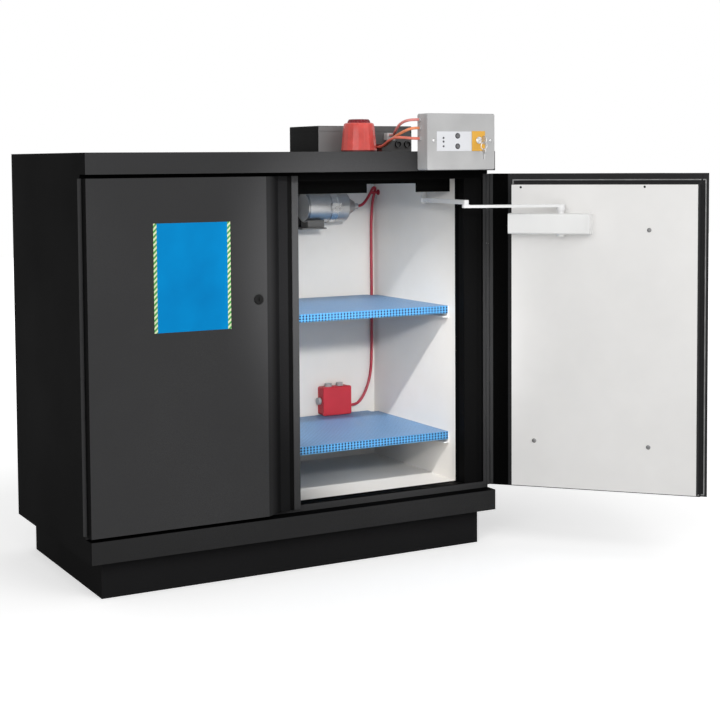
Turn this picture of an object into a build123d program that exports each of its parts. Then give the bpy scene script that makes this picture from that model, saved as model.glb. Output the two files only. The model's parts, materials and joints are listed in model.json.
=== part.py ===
"""Fire-resistant battery cabinet with two doors, door closers, an extinguishing
generator, a junction box and an alarm unit on top. Millimetres.

Drawing frame: X from the left side, Y from the front face to the back, Z up from
the floor. Every node is moved at the end so that the origin lies on the floor in
the middle of the cabinet's footprint.
"""

import math
import os

from build123d import *

# ---------------------------------------------------------------- driving sizes
WIDTH = 1100.0
DEPTH = 585.0
BODY_HEIGHT = 936.0
PLINTH_HEIGHT = 90.0
PLINTH_INSET = 35.0

BAND_TOP = 49.5             # height of the fascia above the doors
BAND_BOTTOM = 52.0          # height of the fascia below the doors
RECESS = 38.0               # front face to the frame that the doors close on
SIDE_WALL = 71.0
BACK_WALL = 65.0
TOP_WALL = 69.0
BOTTOM_WALL = 68.0
LINER = 3.0                 # white inner boards
JAMB_DEPTH = 46.0           # frame face to the first edge of the inner boards
EDGE_ROUND = 2.0

DOOR_THICK = 35.0
DOOR_GAP_TOP = 9.0
DOOR_GAP_BOTTOM = 8.0
DOOR_SIDE_GAP = 1.5
BEVEL_REACH = 103.5         # middle of the cabinet to the flat face of a door
BEVEL_WIDTH = 43.0
BEVEL_DEPTH = 25.0
LEFT_SHELL_GAP = 36.0       # middle of the cabinet to the left door's edge
RIGHT_LAP_REACH = 14.0      # how far the right door's lap passes the middle
LAP_LENGTH = 16.0
LAP_THICK = 3.5
PAD_SIDE_GAP = 3.0          # inner door box to the side of the opening
PAD_MIDDLE_GAP = 6.0
PAD_THICK = 46.0
PAD_BOTTOM_GAP = 3.0        # inner door box to the floor board
PAD_TOP_GAP = 16.0
BOARD = 2.0
BOARD_MARGIN = 1.5
OPEN_ANGLE = 133.0

HINGE_RADIUS = 5.5
HINGE_PIN = 2.0
HINGE_FIT = 0.05
HINGE_CLEAR = 0.8
HINGE_LEAF = 1.4
HINGE_KNUCKLES = 9
KNUCKLE_GAP = 0.6

GROOVE_START = 14.0         # expansion groove in the frame, from the side
GROOVE_WIDTH = 18.0
GROOVE_DEPTH = 6.0
SEAL_DEPTH = 25.0
SEAL_THICK = 1.6

ASTRAGAL_GAP = 4.0          # middle of the cabinet to the cover strip
ASTRAGAL_WIDTH = 17.0
ASTRAGAL_THICK = 4.0

SHELF_FRONT = 115.0
SHELF_BACK_GAP = 6.0
SHELF_SIDE_GAP = 3.0
SHELF_LIP = 20.5
SHELF_SHEET = 1.5
SHELF_NOTCH = 22.0          # corner left open for the fire cable
SHELF_TOPS = {"upper": 530.0, "lower": 195.0}
REST_WIDTH = 24.0
REST_FOOT = 16.0
REST_SHEET = 3.0
REST_DROP = 30.0

DROP_FRONT = 108.0          # black plate hung under the ceiling
DROP_SHEET = 3.0
DROP_BOTTOM = 105.0         # below the roof
NOTCH_START = 320.0         # from the right side
NOTCH_END = 174.0
NOTCH_TOP = 82.0            # below the roof

CLOSER_LENGTH = 208.0
CLOSER_HEIGHT = 52.0
CLOSER_DEPTH = 44.0
CLOSER_BOTTOM = 210.5       # below the roof
CLOSER_ROUND = 5.0
CLOSER_CAP = 9.0
PINION_PLACE = 205.0        # from the hinge axis
PINION_RADIUS = 8.0
PINION_FIT = 0.05
PINION_BORE = 30.0
PINION_NUB = 6.0
ARM_BOTTOM = 142.5          # below the roof
ARM_THICK = 7.0
ARM_WIDTH = 20.0
LINK_GAP = 1.5
LINK_THICK = 11.0
LINK_WIDTH = 14.0
ELBOW_GAP = 0.4
ELBOW_SIDE = 129.0          # elbow of the closer, from the side, with the door at its widest
ELBOW_FORWARD = 60.0
FOOT_SIDE = 94.0            # fixed pivot of the closer link, from the side
FOOT_Y = 200.0
FOOT_WIDTH = 30.0
FOOT_SHEET = 5.0
STUD_RADIUS = 6.0
STUD_FIT = 0.05
STUD_HEAD = 9.0
STUD_HEAD_THICK = 3.0

LOCK_REACH = 126.3          # from the middle of the cabinet
LOCK_DROP = 350.0           # below the roof
LOCK_RADIUS = 12.0
LOCK_PROUD = 3.0
LOCK_BODY = 9.0
LOCK_FIT = 0.05
LOCK_LENGTH = 20.0
KEYHOLE = 2.0

CANISTER_RADIUS = 42.0
CANISTER_SIDE = 324.0       # left end, from the right side of the cabinet
CANISTER_LENGTH = 130.0
CANISTER_BACK_GAP = 54.0    # axis to the back board
CANISTER_DROP = 150.0       # axis below the roof
CANISTER_ROUND = 6.0
RIM_WIDTH = 5.0
RIM_STEP = 3.0
NOZZLE_BASE = 30.0
NOZZLE_LENGTH = 27.0
NOZZLE_TIP = 15.0
SPOUT_RADIUS = 8.0
SPOUT_LENGTH = 14.0
CLAMP_PLACE = 81.0          # middle of the strap, from the canister's left end
CLAMP_WIDTH = 20.0
CLAMP_SHEET = 1.5
BUCKLE_WIDTH = 28.0
BUCKLE_HEIGHT = 22.0
BUCKLE_PROUD = 9.0
TRAY_START = -19.0          # from the canister's left end
TRAY_LENGTH = 74.0
TRAY_FRONT = 90.0           # from the back board
TRAY_DROP = 14.0            # below the canister
TRAY_SHEET = 4.0
CRADLE_INSET = 24.0

JUNCTION_SIDE = 254.0       # left side, from the right side of the cabinet
JUNCTION_WIDTH = 88.0
JUNCTION_Z = 197.0
JUNCTION_HEIGHT = 79.0
JUNCTION_DEPTH = 36.0
JUNCTION_LID = 9.0
JUNCTION_ROUND = 5.0
GLAND_RADIUS = 10.0
GLAND_LENGTH = 9.0
GLAND_RIB = 1.5
GLAND_PLACES = (26.0, 62.0)

FIRE_CABLE_RADIUS = 4.0
SIGNAL_CABLE_RADIUS = 3.5
HOOK_BACK_GAP = 31.0        # peg under the fold of the fire cable, to the back board
HOOK_DROP = 113.0           # below the roof
HOOK_RADIUS = 3.5
HOOK_REACH = 20.0
HOOK_HEAD = 5.0
HOOK_HEAD_THICK = 3.0
HOOK_PLATE = 8.0
HOOK_PLATE_THICK = 2.0
ENTRY_RADIUS = 5.5
ENTRY_LENGTH = 4.0

CONTROL_SIDE = 234.0        # left side, from the right side of the cabinet
CONTROL_WIDTH = 200.0
CONTROL_DROP = 47.0         # bottom, below the roof
CONTROL_HEIGHT = 141.0
CONTROL_DEPTH = 48.0
CONTROL_ROUND = 5.0
CONTROL_SEAM = 12.0
BUTTON_RADIUS = 5.0
BUTTON_PROUD = 3.0
BUTTON_TRAVEL = 1.5
BUTTON_FIT = 0.3
BUTTON_LENGTH = 9.0
BUTTON_X = 88.0             # from the left edge of the control box
BUTTON_HEIGHTS = (59.0, 85.0)
SWITCH_X = 151.0
SWITCH_Z = 74.0
SWITCH_RADIUS = 9.0
SWITCH_PROUD = 5.0
SWITCH_FIT = 0.05
SWITCH_LENGTH = 16.0
KEY_THICK = 2.0
KEY_HEAD = 11.0
KEY_REACH = 20.0
KEY_HOLE = 2.6
RING_WIRE = 1.0
RING_RADIUS = 9.0
SPARE_HEAD = 7.0
SPARE_LENGTH = 18.0

RELAY_SIDE = 411.0          # left side, from the right side of the cabinet
RELAY_WIDTH = 280.0
RELAY_Y = 200.0
RELAY_DEPTH = 168.0
RELAY_HEIGHT = 67.5
RELAY_ROUND = 4.0
RELAY_LID = 14.0
SOCKET_RADIUS = 9.0
SOCKET_LENGTH = 7.0
SOCKET_WALL = 2.0
SOCKET_PLACES = (236.0, 264.0)
SOCKET_Z = 20.0
WINDOW_START = 242.0        # sunk window in the relay housing's front
WINDOW_END = 276.0
WINDOW_BOTTOM = 49.0
WINDOW_TOP = 63.0
WINDOW_DEPTH = 2.0
CONNECTOR_PLACE = 194.0
CONNECTOR_Z = 30.0
CONNECTOR_WIDTH = 24.0
CONNECTOR_HEIGHT = 19.0
CONNECTOR_DEPTH = 18.0

BEACON_SIDE = 330.0
BEACON_Y = 130.0
BEACON_FOOT = 4.0
BEACON_LOW = 46.0           # radii of the lens, from the bottom up
BEACON_HIGH = 38.6
BEACON_CAP_LOW = 29.6
BEACON_CAP_HIGH = 25.2
BEACON_SHOULDER = 70.5      # above the roof
BEACON_HEIGHT = 82.5
ENTRY_BLOCK_START = 40.0    # cable entry block beside the beacon's axis
ENTRY_BLOCK_END = 64.0
ENTRY_BLOCK_HEIGHT = 20.0
ENTRY_BLOCK_FRONT = 6.0
ENTRY_BLOCK_DEPTH = 18.0

# ---------------------------------------------------------------- worked out
MIDDLE = WIDTH / 2
FLOOR = PLINTH_HEIGHT                       # underside of the body
ROOF = FLOOR + BODY_HEIGHT
INNER_FRONT = RECESS + JAMB_DEPTH
INNER_LEFT = SIDE_WALL
INNER_RIGHT = WIDTH - SIDE_WALL
INNER_BACK = DEPTH - BACK_WALL
INNER_FLOOR = FLOOR + BOTTOM_WALL
INNER_CEILING = ROOF - TOP_WALL
DOOR_BOTTOM = FLOOR + BAND_BOTTOM + DOOR_GAP_BOTTOM
DOOR_TOP = ROOF - BAND_TOP - DOOR_GAP_TOP
BEVEL_START = MIDDLE - BEVEL_REACH
LEFT_SHELL_END = MIDDLE - LEFT_SHELL_GAP
RIGHT_SHELL_END = MIDDLE + RIGHT_LAP_REACH
PAD_START = SIDE_WALL + PAD_SIDE_GAP
PAD_END = MIDDLE - PAD_MIDDLE_GAP
PAD_BOTTOM = INNER_FLOOR + PAD_BOTTOM_GAP
PAD_TOP = INNER_CEILING - PAD_TOP_GAP
LOCK_X = MIDDLE - LOCK_REACH
LOCK_Z = ROOF - LOCK_DROP
HINGE_Y = (DOOR_THICK + RECESS) / 2
BOARD_FACE = DOOR_THICK + PAD_THICK + BOARD
PINION_Y = BOARD_FACE + CLOSER_DEPTH / 2
CLOSER_Z = ROOF - CLOSER_BOTTOM
ARM_Z = ROOF - ARM_BOTTOM
LINK_Z = ARM_Z + ARM_THICK + LINK_GAP
FOOT_X = WIDTH - FOOT_SIDE
CANISTER_START = WIDTH - CANISTER_SIDE
CANISTER_END = CANISTER_START + CANISTER_LENGTH
CANISTER_Y = INNER_BACK - CANISTER_BACK_GAP
CANISTER_Z = ROOF - CANISTER_DROP
CONTROL_X = WIDTH - CONTROL_SIDE
BEACON_X = WIDTH - BEACON_SIDE

nodes = {}


def block(x0, x1, y0, y1, z0, z1):
    """A box between two corners."""
    centre = Pos((x0 + x1) / 2, (y0 + y1) / 2, (z0 + z1) / 2)
    return centre * Box(x1 - x0, y1 - y0, z1 - z0)


def upright(radius, x, y, z0, z1):
    """A cylinder along Z."""
    return Pos(x, y, (z0 + z1) / 2) * Cylinder(radius, z1 - z0)


def rod_y(radius, x, y0, y1, z):
    """A cylinder along Y."""
    return Pos(x, (y0 + y1) / 2, z) * Rot(90, 0, 0) * Cylinder(radius, y1 - y0)


def rod_x(radius, x0, x1, y, z):
    """A cylinder along X."""
    return Pos((x0 + x1) / 2, y, z) * Rot(0, 90, 0) * Cylinder(radius, x1 - x0)


def prism(points, z0, z1):
    """An outline in the XY plane, pulled up from z0 to z1."""
    face = make_face(Polyline(*points, close=True))
    return Pos(0, 0, z0) * extrude(face, z1 - z0)


def mirrored(shape):
    """The same shape on the other side of the cabinet."""
    return mirror(shape, about=Plane.YZ.offset(WIDTH / 2))


def opened(shape):
    """A piece of the right door, turned from closed to where the door stands."""
    return Pos(WIDTH, HINGE_Y, 0) * Rot(0, 0, OPEN_ANGLE) * Pos(-WIDTH, -HINGE_Y, 0) * shape


# ---------------------------------------------------------------- body
def build_body():
    """Plinth, insulated walls, fascias and the white inner boards."""
    plinth = block(
        PLINTH_INSET, WIDTH - PLINTH_INSET, PLINTH_INSET, DEPTH - PLINTH_INSET, 0, FLOOR
    )
    nodes["plinth"] = plinth

    for side in ("left", "right"):
        wall = block(0, SIDE_WALL - LINER, RECESS, DEPTH, INNER_FLOOR, INNER_CEILING)
        wall += block(0, SIDE_WALL, RECESS, INNER_FRONT, INNER_FLOOR, INNER_CEILING)
        groove_end = GROOVE_START + GROOVE_WIDTH
        wall -= block(
            GROOVE_START, groove_end, RECESS - 1, RECESS + GROOVE_DEPTH,
            INNER_FLOOR - 1, INNER_CEILING + 1,
        )
        wall -= upright(HINGE_RADIUS + HINGE_CLEAR, 0, HINGE_Y, FLOOR, ROOF)
        liner = block(
            SIDE_WALL - LINER, SIDE_WALL, INNER_FRONT, INNER_BACK, INNER_FLOOR, INNER_CEILING
        )
        nodes["wall_" + side] = wall if side == "left" else mirrored(wall)
        nodes["liner_" + side] = liner if side == "left" else mirrored(liner)

    back_x = SIDE_WALL - LINER
    nodes["wall_back"] = block(
        back_x, WIDTH - back_x, INNER_BACK + LINER, DEPTH, INNER_FLOOR, INNER_CEILING
    )
    nodes["liner_back"] = block(
        back_x, WIDTH - back_x, INNER_BACK, INNER_BACK + LINER, INNER_FLOOR, INNER_CEILING
    )

    for name, low, high, face in (
        ("wall_bottom", FLOOR, INNER_FLOOR, INNER_FLOOR),
        ("wall_top", INNER_CEILING, ROOF, INNER_CEILING),
    ):
        slab = block(0, WIDTH, RECESS, DEPTH, low, high)
        inner = block(
            INNER_LEFT, INNER_RIGHT, INNER_FRONT, INNER_BACK, face - LINER, face + LINER
        )
        for x in (0, WIDTH):
            slab -= upright(HINGE_RADIUS + HINGE_CLEAR, x, HINGE_Y, DOOR_BOTTOM, DOOR_TOP)
        nodes[name] = slab - inner
        board = "liner_floor" if name == "wall_bottom" else "liner_ceiling"
        nodes[board] = slab & inner

    lower = block(0, WIDTH, 0, RECESS, FLOOR, FLOOR + BAND_BOTTOM)
    upper = block(0, WIDTH, 0, RECESS, ROOF - BAND_TOP, ROOF)
    nodes["band_bottom"] = fillet(lower.edges().filter_by(Axis.Z).group_by(Axis.Y)[0], EDGE_ROUND)
    nodes["band_top"] = fillet(upper.edges().filter_by(Axis.Z).group_by(Axis.Y)[0], EDGE_ROUND)

    ring = block(
        INNER_LEFT, INNER_RIGHT, RECESS, RECESS + SEAL_DEPTH, INNER_FLOOR, INNER_CEILING
    )
    ring -= block(
        INNER_LEFT + SEAL_THICK, INNER_RIGHT - SEAL_THICK, 0, INNER_FRONT,
        INNER_FLOOR + SEAL_THICK, INNER_CEILING - SEAL_THICK,
    )
    nodes["opening_seal"] = ring


# ---------------------------------------------------------------- doors
def door_outline(end, lap):
    """Plan of a door shell, from its hinge side; a lap reaches over the other door."""
    start = DOOR_SIDE_GAP
    bevel_end = BEVEL_START + BEVEL_WIDTH
    front = [(start, 0), (BEVEL_START, 0), (bevel_end, BEVEL_DEPTH), (end, BEVEL_DEPTH)]
    if not lap:
        return front + [(end, DOOR_THICK), (start, DOOR_THICK)]
    step = BEVEL_DEPTH + LAP_THICK
    inner = end - LAP_LENGTH
    return front + [(end, step), (inner, step), (inner, DOOR_THICK), (start, DOOR_THICK)]


def build_door(side):
    """Shell with inner box, white board and the moving half of the hinge."""
    lap = side == "right"
    end = RIGHT_SHELL_END if lap else LEFT_SHELL_END
    shell = prism(door_outline(end, lap), DOOR_BOTTOM, DOOR_TOP)
    pad = block(
        PAD_START, PAD_END, DOOR_THICK, DOOR_THICK + PAD_THICK, PAD_BOTTOM, PAD_TOP,
    )
    shell += pad
    shell -= upright(HINGE_RADIUS + HINGE_CLEAR, 0, HINGE_Y, FLOOR, ROOF)
    board = block(
        PAD_START, PAD_END - BOARD_MARGIN, DOOR_THICK + PAD_THICK, BOARD_FACE,
        PAD_BOTTOM + BOARD_MARGIN, PAD_TOP - BOARD_MARGIN,
    )
    if side == "left":
        shell -= rod_y(LOCK_BODY + LOCK_FIT, LOCK_X, -1, LOCK_LENGTH, LOCK_Z)
    return shell, board


def knuckle(index):
    """Bottom and top of one hinge knuckle."""
    pitch = (DOOR_TOP - DOOR_BOTTOM) / HINGE_KNUCKLES
    low = DOOR_BOTTOM + index * pitch
    return low + KNUCKLE_GAP / 2, low + pitch - KNUCKLE_GAP / 2


def hinge_half(fixed):
    """Piano hinge at x = 0: the fixed half has the pin, the moving half the bores."""
    leaf_y = RECESS - HINGE_LEAF if fixed else DOOR_THICK
    near = HINGE_RADIUS + HINGE_CLEAR
    half = block(near, GROOVE_START, leaf_y, leaf_y + HINGE_LEAF, DOOR_BOTTOM, DOOR_TOP)
    if fixed:
        half += upright(HINGE_PIN, 0, HINGE_Y, DOOR_BOTTOM, DOOR_TOP)
    for index in range(0 if fixed else 1, HINGE_KNUCKLES, 2):
        low, high = knuckle(index)
        half += upright(HINGE_RADIUS, 0, HINGE_Y, low, high)
        half += block(0, near + 1, leaf_y, leaf_y + HINGE_LEAF, low, high)
    if not fixed:
        half -= upright(HINGE_PIN + HINGE_FIT, 0, HINGE_Y, FLOOR, ROOF)
    return half


def build_doors():
    """Both doors; the right one stands open."""
    shell, board = build_door("left")
    nodes["door_left"] = shell
    nodes["door_left_board"] = board
    nodes["hinge_left_fixed"] = hinge_half(True)
    nodes["hinge_left_moving"] = hinge_half(False)
    strip_y = DOOR_THICK - ASTRAGAL_THICK
    strip_end = MIDDLE - ASTRAGAL_GAP
    nodes["astragal"] = block(
        strip_end - ASTRAGAL_WIDTH, strip_end, strip_y, DOOR_THICK, DOOR_BOTTOM, DOOR_TOP
    )
    shell, board = build_door("right")
    nodes["door_right"] = opened(mirrored(shell))
    nodes["door_right_board"] = opened(mirrored(board))
    nodes["hinge_right_fixed"] = mirrored(hinge_half(True))
    nodes["hinge_right_moving"] = opened(mirrored(hinge_half(False)))

    lock = rod_y(LOCK_RADIUS, LOCK_X, -LOCK_PROUD, 0, LOCK_Z)
    lock = chamfer(lock.edges().group_by(Axis.Y)[0], 1)
    lock += rod_y(LOCK_BODY, LOCK_X, 0, LOCK_LENGTH, LOCK_Z)
    lock -= block(
        LOCK_X - KEYHOLE / 2, LOCK_X + KEYHOLE / 2, -LOCK_PROUD - 1, LOCK_LENGTH / 2,
        LOCK_Z - LOCK_BODY / 2, LOCK_Z + LOCK_BODY / 2,
    )
    nodes["door_lock"] = lock


# ---------------------------------------------------------------- closers
def point_on_door(along, away, angle):
    """Where a point of the right door lies with the door opened by an angle."""
    turn = math.radians(angle)
    x = WIDTH - along * math.cos(turn) - away * math.sin(turn)
    y = HINGE_Y - along * math.sin(turn) + away * math.cos(turn)
    return x, y


def elbow_closed(arm_length, link_length):
    """Elbow of the closer with the door shut, on the side of the cabinet's middle."""
    px, py = point_on_door(PINION_PLACE, PINION_Y - HINGE_Y, 0)
    dx, dy = FOOT_X - px, FOOT_Y - py
    span = math.hypot(dx, dy)
    along = (arm_length**2 - link_length**2 + span**2) / (2 * span)
    across = math.sqrt(arm_length**2 - along**2)
    return (
        px + along * dx / span - across * dy / span,
        py + along * dy / span + across * dx / span,
    )


def bar(x0, y0, x1, y1, width, z0, z1):
    """A flat bar with round ends between two points in plan."""
    length = math.hypot(x1 - x0, y1 - y0)
    flat = extrude(SlotCenterToCenter(length, width), z1 - z0)
    turn = math.degrees(math.atan2(y1 - y0, x1 - x0))
    return Pos((x0 + x1) / 2, (y0 + y1) / 2, z0) * Rot(0, 0, turn) * flat


def closer_housing():
    """Housing of a door closer on the shut right door, with its end caps."""
    x0, x1 = WIDTH - PAD_START - CLOSER_LENGTH, WIDTH - PAD_START
    y0, y1 = BOARD_FACE, BOARD_FACE + CLOSER_DEPTH
    z0, z1 = CLOSER_Z, CLOSER_Z + CLOSER_HEIGHT
    body = block(x0, x1, y0, y1, z0, z1)
    body = fillet(body.edges().filter_by(Axis.X).group_by(Axis.Y)[-1], CLOSER_ROUND)
    for x in (x0 + CLOSER_CAP, x1 - CLOSER_CAP):
        seam = block(x - 0.5, x + 0.5, y0 - 1, y1 + 1, z0 - 1, z1 + 1)
        keep = block(x - 1, x + 1, y0 - 1, y1 - 1, z0 + 1, z1 - 1)
        body -= seam - keep
    px = WIDTH - PINION_PLACE
    body += upright(PINION_RADIUS + 2, px, PINION_Y, z0 - PINION_NUB, z0)
    body -= upright(PINION_RADIUS + PINION_FIT, px, PINION_Y, z1 - PINION_BORE, z1 + 1)
    return body


def closer_arm(pinion, elbow):
    """Main arm with its pinion shaft and the boss under the link."""
    arm = bar(*pinion, *elbow, ARM_WIDTH, ARM_Z, ARM_Z + ARM_THICK)
    bore_floor = CLOSER_Z + CLOSER_HEIGHT - PINION_BORE
    arm += upright(PINION_RADIUS, *pinion, bore_floor + 0.3, ARM_Z)
    arm += upright(PINION_RADIUS + 3, *pinion, ARM_Z - 8, ARM_Z)
    arm += upright(ARM_WIDTH / 2, *elbow, ARM_Z, LINK_Z - ELBOW_GAP)
    return arm


def closer_link(foot, elbow):
    """Forearm from the elbow to the fixed stud."""
    link = bar(*foot, *elbow, LINK_WIDTH, LINK_Z, LINK_Z + LINK_THICK)
    link += upright(STUD_RADIUS + 4, *foot, LINK_Z, LINK_Z + LINK_THICK)
    link -= upright(STUD_RADIUS + STUD_FIT, *foot, LINK_Z - 1, LINK_Z + LINK_THICK + 1)
    return link


def build_closers():
    """A closer on each door, in the pose of its door."""
    pinion_open = point_on_door(PINION_PLACE, PINION_Y - HINGE_Y, OPEN_ANGLE)
    pinion_shut = point_on_door(PINION_PLACE, PINION_Y - HINGE_Y, 0)
    elbow_open = (WIDTH - ELBOW_SIDE, -ELBOW_FORWARD)
    foot = (FOOT_X, FOOT_Y)
    arm_length = math.dist(pinion_open, elbow_open)
    link_length = math.dist(elbow_open, foot)
    elbow_shut = elbow_closed(arm_length, link_length)

    housing = closer_housing()
    nodes["closer_right"] = opened(housing)
    nodes["closer_arm_right"] = closer_arm(pinion_open, elbow_open)
    nodes["closer_link_right"] = closer_link(foot, elbow_open)
    nodes["closer_left"] = mirrored(housing)
    nodes["closer_arm_left"] = mirrored(closer_arm(pinion_shut, elbow_shut))
    nodes["closer_link_left"] = mirrored(closer_link(foot, elbow_shut))

    arm_turn = heading(pinion_shut, elbow_shut) - heading(pinion_open, elbow_open)
    link_turn = heading(foot, elbow_shut) - heading(foot, elbow_open)
    link_turn = (link_turn + 180) % 360 - 180
    print("closer arm", round(arm_length, 2), "link", round(link_length, 2))
    print("arm turn on the door, door shut:", round(arm_turn + OPEN_ANGLE, 3))
    print("link turn on the body, door shut:", round(link_turn, 3))
    print("pinion open", pinion_open, "pinion shut", pinion_shut, "elbow shut", elbow_shut)


def heading(start, end):
    """Direction in plan, in degrees."""
    return math.degrees(math.atan2(end[1] - start[1], end[0] - start[0]))


# ---------------------------------------------------------------- inside
def build_shelf(level, top):
    """Folded sheet shelf and the two channels that carry it."""
    x0, x1 = INNER_LEFT + SHELF_SIDE_GAP, INNER_RIGHT - SHELF_SIDE_GAP
    y0, y1 = SHELF_FRONT, INNER_BACK - SHELF_BACK_GAP
    z1 = FLOOR + top
    shelf = block(x0, x1, y0, y1, z1 - SHELF_SHEET, z1)
    shelf += block(x0, x1, y0, y0 + SHELF_SHEET, z1 - SHELF_LIP, z1)
    shelf += block(x0, x1, y1 - SHELF_SHEET, y1, z1 - SHELF_LIP, z1)
    notch = block(
        x1 - SHELF_NOTCH, x1 + 1, y1 - SHELF_NOTCH, y1 + 1, z1 - SHELF_LIP - 1, z1 + 1
    )
    nodes["shelf_" + level] = shelf - notch

    rest_z = z1 - SHELF_SHEET
    near, far = y0 + SHELF_SHEET, y1 - SHELF_NOTCH
    rest = block(INNER_LEFT, INNER_LEFT + REST_WIDTH, near, far, rest_z - REST_SHEET, rest_z)
    rest += block(INNER_LEFT, INNER_LEFT + REST_SHEET, near, far, rest_z - REST_DROP, rest_z)
    foot_z = rest_z - REST_DROP
    rest += block(INNER_LEFT, INNER_LEFT + REST_FOOT, near, far, foot_z, foot_z + REST_SHEET)
    nodes["shelf_rest_" + level + "_left"] = rest
    nodes["shelf_rest_" + level + "_right"] = mirrored(rest)


def build_drop_plate():
    """Black plate under the ceiling, with a tab and stud for each closer link."""
    tab_z = ROOF - DROP_BOTTOM
    plate = block(
        INNER_LEFT, INNER_RIGHT, DROP_FRONT, DROP_FRONT + DROP_SHEET,
        tab_z, INNER_CEILING - LINER,
    )
    plate -= block(
        WIDTH - NOTCH_START, WIDTH - NOTCH_END, DROP_FRONT - 1, DROP_FRONT + DROP_SHEET + 1,
        tab_z - 1, ROOF - NOTCH_TOP,
    )
    for side in (False, True):
        tab = block(
            FOOT_X - FOOT_WIDTH / 2, FOOT_X + FOOT_WIDTH / 2,
            DROP_FRONT, FOOT_Y, tab_z, tab_z + FOOT_SHEET,
        )
        tab += upright(FOOT_WIDTH / 2, FOOT_X, FOOT_Y, tab_z, tab_z + FOOT_SHEET)
        tab += upright(STUD_HEAD, FOOT_X, FOOT_Y, LINK_Z + LINK_THICK + 0.5, tab_z)
        tab += upright(STUD_RADIUS, FOOT_X, FOOT_Y, LINK_Z - 0.5, tab_z)
        head_z = LINK_Z - 0.5
        tab += upright(STUD_HEAD, FOOT_X, FOOT_Y, head_z - STUD_HEAD_THICK, head_z)
        plate += mirrored(tab) if side else tab
    nodes["drop_plate"] = plate


def build_generator():
    """Extinguishing generator: canister, nozzle, strap clamp and wall bracket."""
    y, z = CANISTER_Y, CANISTER_Z
    can = rod_x(CANISTER_RADIUS, CANISTER_START, CANISTER_END, y, z)
    can = fillet(can.edges(), CANISTER_ROUND)
    rim = rod_x(CANISTER_RADIUS + 1, CANISTER_START - 1, CANISTER_START + RIM_WIDTH, y, z)
    can -= rim - rod_x(CANISTER_RADIUS - RIM_STEP, CANISTER_START - 2, CANISTER_END, y, z)
    nodes["generator_canister"] = can

    start = Plane(origin=(CANISTER_END, y, z), x_dir=(0, 1, 0), z_dir=(1, 0, 0))
    base = start * Circle(NOZZLE_BASE)
    tip = start.offset(NOZZLE_LENGTH) * Circle(NOZZLE_TIP)
    spout_x = CANISTER_END + NOZZLE_LENGTH
    nozzle = loft([base, tip]) + rod_x(SPOUT_RADIUS, spout_x, spout_x + SPOUT_LENGTH, y, z)
    nodes["generator_nozzle"] = nozzle

    middle = CANISTER_START + CLAMP_PLACE
    low, high = middle - CLAMP_WIDTH / 2, middle + CLAMP_WIDTH / 2
    strap = rod_x(CANISTER_RADIUS + CLAMP_SHEET, low, high, y, z)
    buckle = block(
        middle - BUCKLE_WIDTH / 2, middle + BUCKLE_WIDTH / 2,
        y - CANISTER_RADIUS - BUCKLE_PROUD, y - CANISTER_RADIUS + 6,
        z - BUCKLE_HEIGHT / 2, z + BUCKLE_HEIGHT / 2,
    )
    groove = block(
        middle - BUCKLE_WIDTH, middle + BUCKLE_WIDTH,
        y - CANISTER_RADIUS - BUCKLE_PROUD - 1, y - CANISTER_RADIUS - BUCKLE_PROUD / 2,
        z - BUCKLE_HEIGHT / 6, z + BUCKLE_HEIGHT / 6,
    )
    strap += buckle - groove
    strap -= rod_x(CANISTER_RADIUS, low - BUCKLE_WIDTH, high + BUCKLE_WIDTH, y, z)
    nodes["generator_clamp"] = strap

    x0 = CANISTER_START + TRAY_START
    x1 = x0 + TRAY_LENGTH
    top = z - CANISTER_RADIUS - TRAY_DROP
    tray = block(x0, x1, INNER_BACK - TRAY_FRONT, INNER_BACK, top - TRAY_SHEET, top)
    tray += block(x0, x1, INNER_BACK - TRAY_SHEET, INNER_BACK, top, z + CANISTER_RADIUS)
    tray += block(
        x0 + CRADLE_INSET, x1, y - CANISTER_RADIUS / 2, y + CANISTER_RADIUS / 2,
        top, z - CANISTER_RADIUS / 2,
    )
    tray -= rod_x(CANISTER_RADIUS, x0 - 1, x1 + 1, y, z)
    nodes["generator_bracket"] = tray


def gland(x, y, z, direction):
    """A ribbed cable gland standing on a face, along a direction."""
    plane = Plane(origin=(x, y, z), z_dir=direction)
    body = Pos(0, 0, GLAND_LENGTH / 2) * Cylinder(GLAND_RADIUS, GLAND_LENGTH)
    for height in (GLAND_LENGTH / 3, GLAND_LENGTH * 2 / 3):
        rib = Cylinder(GLAND_RADIUS + 1, GLAND_RIB) - Cylinder(GLAND_RADIUS - 1, GLAND_RIB)
        body -= Pos(0, 0, height) * rib
    return plane * body


def build_junction():
    """Red junction box on the back board, its lid and its glands."""
    x0 = WIDTH - JUNCTION_SIDE
    x1 = x0 + JUNCTION_WIDTH
    z0 = FLOOR + JUNCTION_Z
    z1 = z0 + JUNCTION_HEIGHT
    front = INNER_BACK - JUNCTION_DEPTH
    seam = front + JUNCTION_LID
    box = block(x0, x1, seam, INNER_BACK, z0, z1)
    box = fillet(box.edges().filter_by(Axis.Y), JUNCTION_ROUND)
    lid = block(x0 - 1, x1 + 1, front, seam, z0 - 1, z1 + 1)
    lid = fillet(lid.edges().filter_by(Axis.Y), JUNCTION_ROUND)
    nodes["junction_box"] = box + chamfer(lid.edges().group_by(Axis.Y)[0], 2)
    middle = (seam + INNER_BACK) / 2
    for index, place in enumerate(GLAND_PLACES, 1):
        nodes[f"junction_gland_{index}"] = gland(x0 + place, middle, z1, (0, 0, 1))
    nodes["junction_gland_3"] = gland(x0, middle, (z0 + z1) / 2, (-1, 0, 0))


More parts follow.
